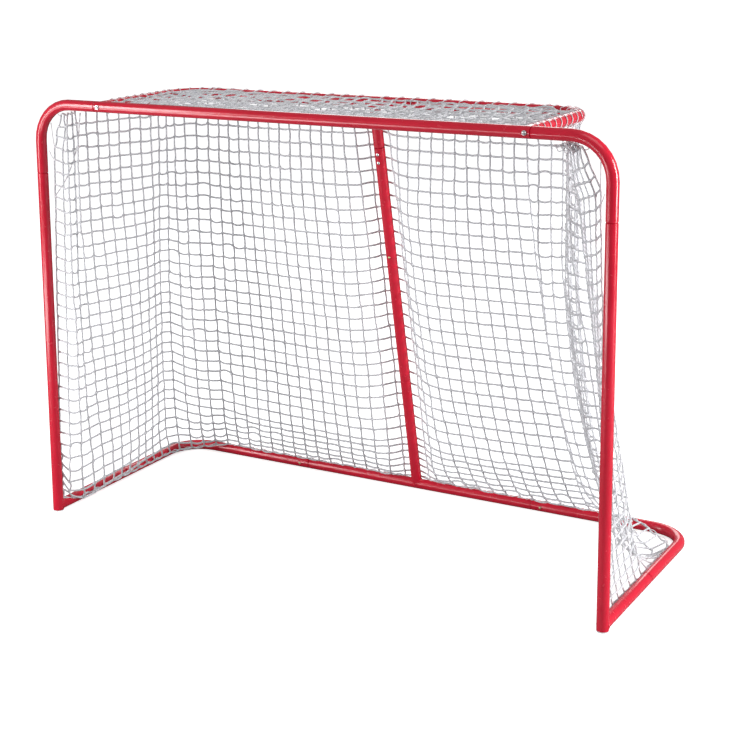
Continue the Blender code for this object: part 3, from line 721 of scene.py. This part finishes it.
def moulded_plastic():
    """Pale moulding with a fine, even grain."""
    nodes = Nodes("pale_moulded_plastic", colour=(0.74, 0.74, 0.76), roughness=0.5)
    nodes.tones(nodes.spread(nodes.noise(scale=90, detail=3), 0, 1), *PLASTIC_TONES)
    nodes.roughness(nodes.noise(scale=300), low=0.42, high=0.6)
    nodes.bump(nodes.noise(scale=1500), distance=0.00008, strength=0.4)
    return nodes.material


def twisted_cord(name, groove_shade, strand, strands, pitch):
    """Twisted cord, drawn from the lay that its mesh carries. The dark tone is painted shade in the
    grooves between its strands.
    """
    nodes = Nodes(name, strand, roughness=0.7)
    lay = nodes.tree.nodes.new("ShaderNodeAttribute")
    lay.attribute_name = "lay"
    parts = nodes.tree.nodes.new("ShaderNodeSeparateXYZ")
    nodes.link(lay.outputs["Vector"], parts.inputs["Vector"])
    turn = nodes.math("ARCTAN2", parts.outputs["Y"], parts.outputs["X"])
    turn = nodes.math("MULTIPLY", turn, strands)
    along = nodes.math("MULTIPLY", parts.outputs["Z"], 2 * math.pi / pitch)
    wave = nodes.math("SINE", nodes.math("ADD", turn, along))
    height = nodes.spread(wave, 0, 1, start=-1, end=1)
    fuzz = nodes.spread(nodes.noise(scale=2600), 0, 0.35)
    height = nodes.math("ADD", height, fuzz)
    # Painted shade: the grooves between the strands take the darker tone, the strands' crowns the
    # cord's own colour.
    nodes.tones(nodes.spread(height, 0, 1, start=0.05, end=0.9), groove_shade, strand)
    nodes.roughness(nodes.noise(scale=700), low=0.6, high=0.8)
    nodes.set("Sheen Weight", 0.25)
    nodes.bump(height, distance=0.0003, strength=0.7)
    return nodes.material


RED = powder_coat()
ZINC = plated("bright_zinc", *ZINC_TONES, low=0.22, high=0.4, scale=500)
YELLOW_ZINC = plated("yellow_zinc", *YELLOW_ZINC_TONES, low=0.25, high=0.42, scale=450)
STRIP = spring_strip()
PLASTIC = moulded_plastic()
NET_CORD = twisted_cord("net_cord", *NET_TONES, strands=3, pitch=0.0110)
LACE_CORD = twisted_cord("lacing_cord", *LACE_TONES, strands=3, pitch=0.0075)
FINISHES = {
    "red_tube": RED, "fastener": ZINC, "spring": STRIP, "button": YELLOW_ZINC, "foot": PLASTIC,
    "net": NET_CORD, "lacing": LACE_CORD}


def finish_cad_nodes():
    """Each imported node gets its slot's material, and smooth walls with crisp ends."""
    for part in frame["record"]["subparts"]:
        item = frame["nodes"][part["node"]]
        item.data.materials.clear()
        item.data.materials.append(FINISHES[part["material_slot"]])
        item.data.shade_smooth()
        weld = item.modifiers.new("one_skin", "WELD")
        weld.merge_threshold = SAME_PLACE
        edges = item.modifiers.new("crisp_ends", "EDGE_SPLIT")
        edges.split_angle = CRISP_ANGLE


def net_pieces(name, border_name, knots, rows, columns, chance, stands_for):
    """The inner cords and their knots as one piece, and the four edges as another."""
    across = np.gradient(knots, axis=1)
    piece(name, [
        sweep(rows[1:-1], CORD_R), sweep(columns[1:-1], UPRIGHT_R),
        knot_forms(knots[1:-1, 1:-1], across[1:-1, 1:-1], chance)],
        NET_CORD, stands_for)
    edges = [rows[0], rows[-1], columns[0], columns[-1]]
    piece(border_name, [sweep(line[None], BORDER_R) for line in edges], NET_CORD)


def hang_net():
    """The back and sides: one sheet of netting, laced to the bars all round."""
    chance = np.random.default_rng(SEED + 1)
    net = HangingNet()
    knots = net.fall()
    rows, columns = cord_lines(knots, net.wide, net.high, chance)
    panels = [name for name in frame["nodes"] if name.startswith("net_") and name != "net_top"]
    net_pieces("net_mesh", "net_border", knots, rows, columns, chance, panels)
    return knots


def hang_roof():
    """The roof: a flat panel inside the top frame, a little slack in the middle."""
    chance = np.random.default_rng(SEED + 2)
    inset = -OFF_TUBE * math.cos(ROOF_BORDER_ANGLE)
    lift = OFF_TUBE * math.sin(ROOF_BORDER_ANGLE)
    reach = BEND - inset
    bend_y = TOP_DEPTH - BEND
    knots = np.empty((ROOF_ROWS + 1, ROOF_COLUMNS + 1, 3))
    for i, y in enumerate(np.linspace(inset, TOP_DEPTH - inset, ROOF_ROWS + 1)):
        half = TOP_X - inset
        if y > bend_y:
            half = TOP_X - BEND + math.sqrt(max(reach ** 2 - (y - bend_y) ** 2, 0))
        for j, share in enumerate(np.linspace(-1, 1, ROOF_COLUMNS + 1)):
            dip = ROOF_SAG * math.cos(share * math.pi / 2) * math.sin(math.pi * i / ROOF_ROWS)
            knots[i, j] = at(share * half, y, BAR_Z + lift - dip)
    knots[1:-1, 1:-1] += chance.normal(0, ROOF_JITTER, knots[1:-1, 1:-1].shape)
    wide = np.linalg.norm(np.diff(knots, axis=1), axis=-1)
    high = np.linalg.norm(np.diff(knots, axis=0), axis=-1)
    wide = wide * chance.uniform(1, ROOF_SLACK, wide.shape)
    high = high * chance.uniform(1, ROOF_SLACK, high.shape)
    rows, columns = cord_lines(knots, wide, high, chance)
    net_pieces("net_roof", "net_roof_border", knots, rows, columns, chance, ["net_top"])


def wound(path, pitch, borders):
    """Cord wound round a level tube that follows path, and out over each border cord on it."""
    length = distances(path)[-1]
    count = max(int(length / pitch * WIND_STEPS), 2)
    centre = evenly(path, count)
    outer = unit(np.cross(unit(np.gradient(centre, axis=0)), Z_AXIS))
    angle = 2 * math.pi * np.linspace(0, length, count + 1) / pitch
    radius = np.full_like(angle, TUBE_R + LACE_R + LACE_LIFT)
    for border in borders:
        off = (angle - border + math.pi) % (2 * math.pi) - math.pi
        radius += (2 * BORDER_R + BORDER_GAP) * np.exp(-(off / BORDER_SWELL) ** 2)
    offset = np.cos(angle)[:, None] * outer + np.sin(angle)[:, None] * Z_AXIS
    return centre + radius[:, None] * offset


def lace(name, lines, stands_for=()):
    piece(name, [sweep(line[None], LACE_R) for line in lines], LACE_CORD, stands_for)


def binding(line):
    """The lace that runs along a border cord, round and round it."""
    length = distances(line)[-1]
    count = int(length / BINDING_PITCH * BINDING_STEPS)
    centre = evenly(line, count)
    side = unit(np.cross(unit(np.gradient(centre, axis=0)), Z_AXIS))
    angle = (2 * np.pi * np.linspace(0, length, count + 1) / BINDING_PITCH)[:, None]
    return centre + BINDING_R * (np.cos(angle) * side + np.sin(angle) * Z_AXIS)


def lace_goal(knots):
    """Lacing round the arms, the bends and the rear bar of the top frame, and along the base."""
    lace("lacing_base", [binding(knots[0])])
    clear = TUBE_R + LACE_CLEAR
    angles = (ROOF_BORDER_ANGLE, TOP_BORDER_ANGLE)
    for side, label in ((-1, "left"), (1, "right")):
        arm = [at(side * TOP_X, clear + ARM_LACE_CLEAR, BAR_Z),
               at(side * TOP_X, TOP_DEPTH - BEND, BAR_Z)]
        bend = arc_path(
            at(side * (TOP_X - BEND), TOP_DEPTH - BEND, BAR_Z), X_AXIS * side, Y_AXIS)
        rear = [at(side * (TOP_X - BEND), TOP_DEPTH, BAR_Z), at(side * clear, TOP_DEPTH, BAR_Z)]
        lace("lacing_arm_" + label, [wound(arm[::side], LACE_PITCH, angles)],
             ["arm_lacing_" + label])
        lace("lacing_bend_" + label, [wound(bend[::side], LACE_PITCH, angles)])
        lace("lacing_top_rear_" + label, [wound(rear[::side], REAR_PITCH, angles)])


def tie_elbows(knots):
    """Short ties from the net's front edge to the elbows."""
    share = np.linspace(0, 1, STAY_POINTS)[:, None]
    for column, side, label in ((0, -1, "left"), (-1, 1, "right")):
        centre = at(side * (POST_X - BEND), 0, BAR_Z - BEND)
        stays = []
        for row, degrees in STAYS:
            angle = math.radians(degrees)
            spoke = np.array([side * math.cos(angle), 0, math.sin(angle)])
            end = centre + spoke * (BEND - TUBE_R - LACE_R) + Y_AXIS * STAY_BEHIND
            line = knots[row, column] * (1 - share) + end * share
            stays.append(line - Z_AXIS * STAY_SAG * np.sin(np.pi * share))
        lace("ties_elbow_" + label, stays)


def smooth_line(points, steps):
    """A smooth curve through a few points, with so many steps from each to the next."""
    points = np.array(points)
    points = np.concatenate([2 * points[:1] - points[1:2], points, 2 * points[-1:] - points[-2:-1]])
    share = np.linspace(0, 1, steps, endpoint=False)[:, None]
    pieces = []
    for a, b, c, d in zip(points, points[1:], points[2:], points[3:]):
        pieces.append(b + share / 2 * (c - a + share * (
            2 * a - 5 * b + 4 * c - d + share * (3 * (b - c) + d - a))))
    return np.concatenate([*pieces, points[-2:-1]])


def gather_net(knots):
    """Spare width at the ends of the crossbar: a bunch on the right, a drawn fold on the left."""
    chance = np.random.default_rng(SEED + 3)
    under = BAR_Z - TUBE_R - 2 * BORDER_R
    (x, y, drop), (end_x, end_y, end_drop) = BUNCH_FROM, BUNCH_TO
    bunch = []
    for start in np.linspace(0, BUNCH_STARTS, BUNCH_CORDS):
        share = np.linspace(start, 1, BUNCH_POINTS)[:, None]
        line = at(x, y, under - drop) * (1 - share) + at(end_x, end_y, under - end_drop) * share
        line[1:-1] += chance.normal(0, 1, (BUNCH_POINTS - 2, 3)) * BUNCH_SPREAD
        line[:, 2] = np.minimum(line[:, 2], under)
        bunch.append(smooth_line(line, BUNCH_STEPS))
    lace("gather_right", bunch)
    edge = knots[FOLD_ROW, 0]
    top = at(*FOLD_TOP, under)
    way = [top * (1 - share) + edge * share + np.array(aside) for share, aside in FOLD_WAY]
    fold = smooth_line([top, *way, edge], FOLD_STEPS)
    angle = np.linspace(0, 2 * np.pi * FOLD_TURNS, len(fold))[:, None]
    wrap = LACE_R * (np.cos(angle) * X_AXIS + np.sin(angle) * Y_AXIS)
    lace("gather_left", [fold + wrap, fold - wrap])


def weld_bead(name, curve):
    """A rippled bead of weld along a closed curve, under the same red coat."""
    curve = np.array(curve)
    ripple = 1 + WELD_RIPPLE * np.sin(np.arange(len(curve)) * 2 * np.pi / RIPPLE_STEPS)
    ripple[-1] = ripple[0]
    piece(name, [sweep(curve[None], (WELD_R * ripple)[None], WELD_SIDES)], RED)


def weld_frame():
    """Saddle-shaped beads where a tube's coped end meets the side of another."""
    turn = np.linspace(0, 2 * np.pi, WELD_STEPS + 1)
    cos, sin = np.cos(turn)[:, None], np.sin(turn)[:, None]
    for side, label in ((-1, "left"), (1, "right")):
        curve = (at(side * POST_X, 0, BASE_Z) + TUBE_R * (
            cos * X_AXIS + np.abs(sin) * Y_AXIS + sin * Z_AXIS))
        curve[:, 2] = np.maximum(curve[:, 2], WELD_R * (1 + WELD_RIPPLE))
        weld_bead("weld_base_arm_" + label, curve)
    top = at(0, TOP_DEPTH, BAR_Z)
    foot = at(0, BASE_DEPTH, BASE_Z)
    up = unit(top - foot)
    front = np.cross(up, X_AXIS)
    for name, start, way in (("weld_support_foot", foot, up), ("weld_support_stub", top, -up)):
        weld_bead(name, start + TUBE_R * (np.abs(cos) * way + cos * X_AXIS + sin * front))


def soft_light(name, place, target, width, height, radiance):
    """A rectangle of light that faces a point. The camera doesn't see it."""
    data = bpy.data.lights.new(name, "AREA")
    data.shape = "RECTANGLE"
    data.size, data.size_y = width, height
    data.energy = radiance * math.pi * width * height
    item = bpy.data.objects.new(name, data)
    item.location = place
    item.rotation_euler = (Vector(target) - Vector(place)).to_track_quat("-Z", "Y").to_euler()
    item.visible_camera = False
    bpy.context.scene.collection.objects.link(item)


def seen_or_lit(tree, seen, lit, output):
    """Wire a surface that the camera sees in one way and that lights the scene in another."""
    ray = tree.nodes.new("ShaderNodeLightPath")
    mix = tree.nodes.new("ShaderNodeMixShader")
    for start, end in ((ray.outputs["Is Camera Ray"], mix.inputs["Fac"]), (lit, mix.inputs[1]),
                       (seen, mix.inputs[2]), (mix.outputs["Shader"], output)):
        tree.links.new(start, end)


def make_floor():
    """A pale floor, out to a far edge on all sides."""
    signs = ((-1, -1), (1, -1), (1, 1), (-1, 1))
    corners = [(x * FLOOR_REACH, y * FLOOR_REACH, 0) for x, y in signs]
    mesh = bpy.data.meshes.new("floor")
    mesh.from_pydata(corners, [], [(0, 1, 2, 3)])
    pale = Nodes("pale_floor", colour=(0.93, 0.93, 0.93), roughness=0.9)
    pale.tones(pale.spread(pale.noise(scale=3), 0, 1), *FLOOR_TONES)
    glow = pale.tree.nodes.new("ShaderNodeEmission")
    glow.inputs["Strength"].default_value = FLOOR_GLOW
    glowing = pale.tree.nodes.new("ShaderNodeAddShader")
    pale.link(pale.shader.outputs["BSDF"], glowing.inputs[0])
    pale.link(glow.outputs["Emission"], glowing.inputs[1])
    dim = pale.tree.nodes.new("ShaderNodeBsdfDiffuse")
    dim.inputs["Color"].default_value = FLOOR_BOUNCE
    seen_or_lit(pale.tree, glowing.outputs["Shader"], dim.outputs["BSDF"],
                pale.tree.nodes["Material Output"].inputs["Surface"])
    mesh.materials.append(pale.material)
    floor = bpy.data.objects.new("floor", mesh)
    bpy.context.scene.collection.objects.link(floor)


def make_room():
    """An even room, white where the camera sees it."""
    world = bpy.data.worlds.new("white_room")
    world.use_nodes = True
    tree = world.node_tree
    room = tree.nodes["Background"]
    room.inputs["Color"].default_value = ROOM_COLOUR
    room.inputs["Strength"].default_value = ROOM_STRENGTH
    white = tree.nodes.new("ShaderNodeBackground")
    white.inputs["Color"].default_value = (1, 1, 1, 1)
    seen_or_lit(tree, white.outputs["Background"], room.outputs["Background"],
                tree.nodes["World Output"].inputs["Surface"])
    bpy.context.scene.world = world
    bpy.context.scene.view_settings.view_transform = "Standard"


def make_lights():
    """A wide overhead light and the soft lights."""
    sun = bpy.data.lights.new("overhead", "SUN")
    sun.energy = SUN_STRENGTH
    sun.angle = SUN_SIZE
    item = bpy.data.objects.new("overhead", sun)
    item.rotation_euler = SUN_TILT
    bpy.context.scene.collection.objects.link(item)
    for light in SOFT_LIGHTS:
        soft_light(*light)


def make_camera():
    """The photograph's camera, with its picture's centre off the frame's."""
    azimuth, elevation = math.radians(CAMERA_AZIMUTH), math.radians(CAMERA_ELEVATION)
    roll = math.radians(CAMERA_ROLL)
    forward = Vector((-math.sin(azimuth) * math.cos(elevation),
                      math.cos(azimuth) * math.cos(elevation), -math.sin(elevation)))
    right = forward.cross(Vector((0, 0, 1))).normalized()
    up = right.cross(forward)
    turned_right = right * math.cos(roll) + up * math.sin(roll)
    turned_up = up * math.cos(roll) - right * math.sin(roll)
    camera = bpy.data.cameras.new("photo_camera")
    camera.sensor_width = SENSOR
    camera.lens = FOCAL_PX * SENSOR / PHOTO_WIDTH
    camera.shift_x = (PHOTO_WIDTH / 2 - CENTRE_PX[0]) / PHOTO_WIDTH
    camera.shift_y = (CENTRE_PX[1] - PHOTO_WIDTH / 2) / PHOTO_WIDTH
    item = bpy.data.objects.new("photo_camera", camera)
    turn = Matrix((turned_right, turned_up, -forward)).transposed().to_4x4()
    item.matrix_world = Matrix.Translation(Vector(at(*CAMERA_PLACE))) @ turn
    bpy.context.scene.collection.objects.link(item)
    bpy.context.scene.camera = item


finish_cad_nodes()
settled = hang_net()
hang_roof()
lace_goal(settled)
tie_elbows(settled)
gather_net(settled)
weld_frame()
make_floor()
make_room()
make_lights()
make_camera()
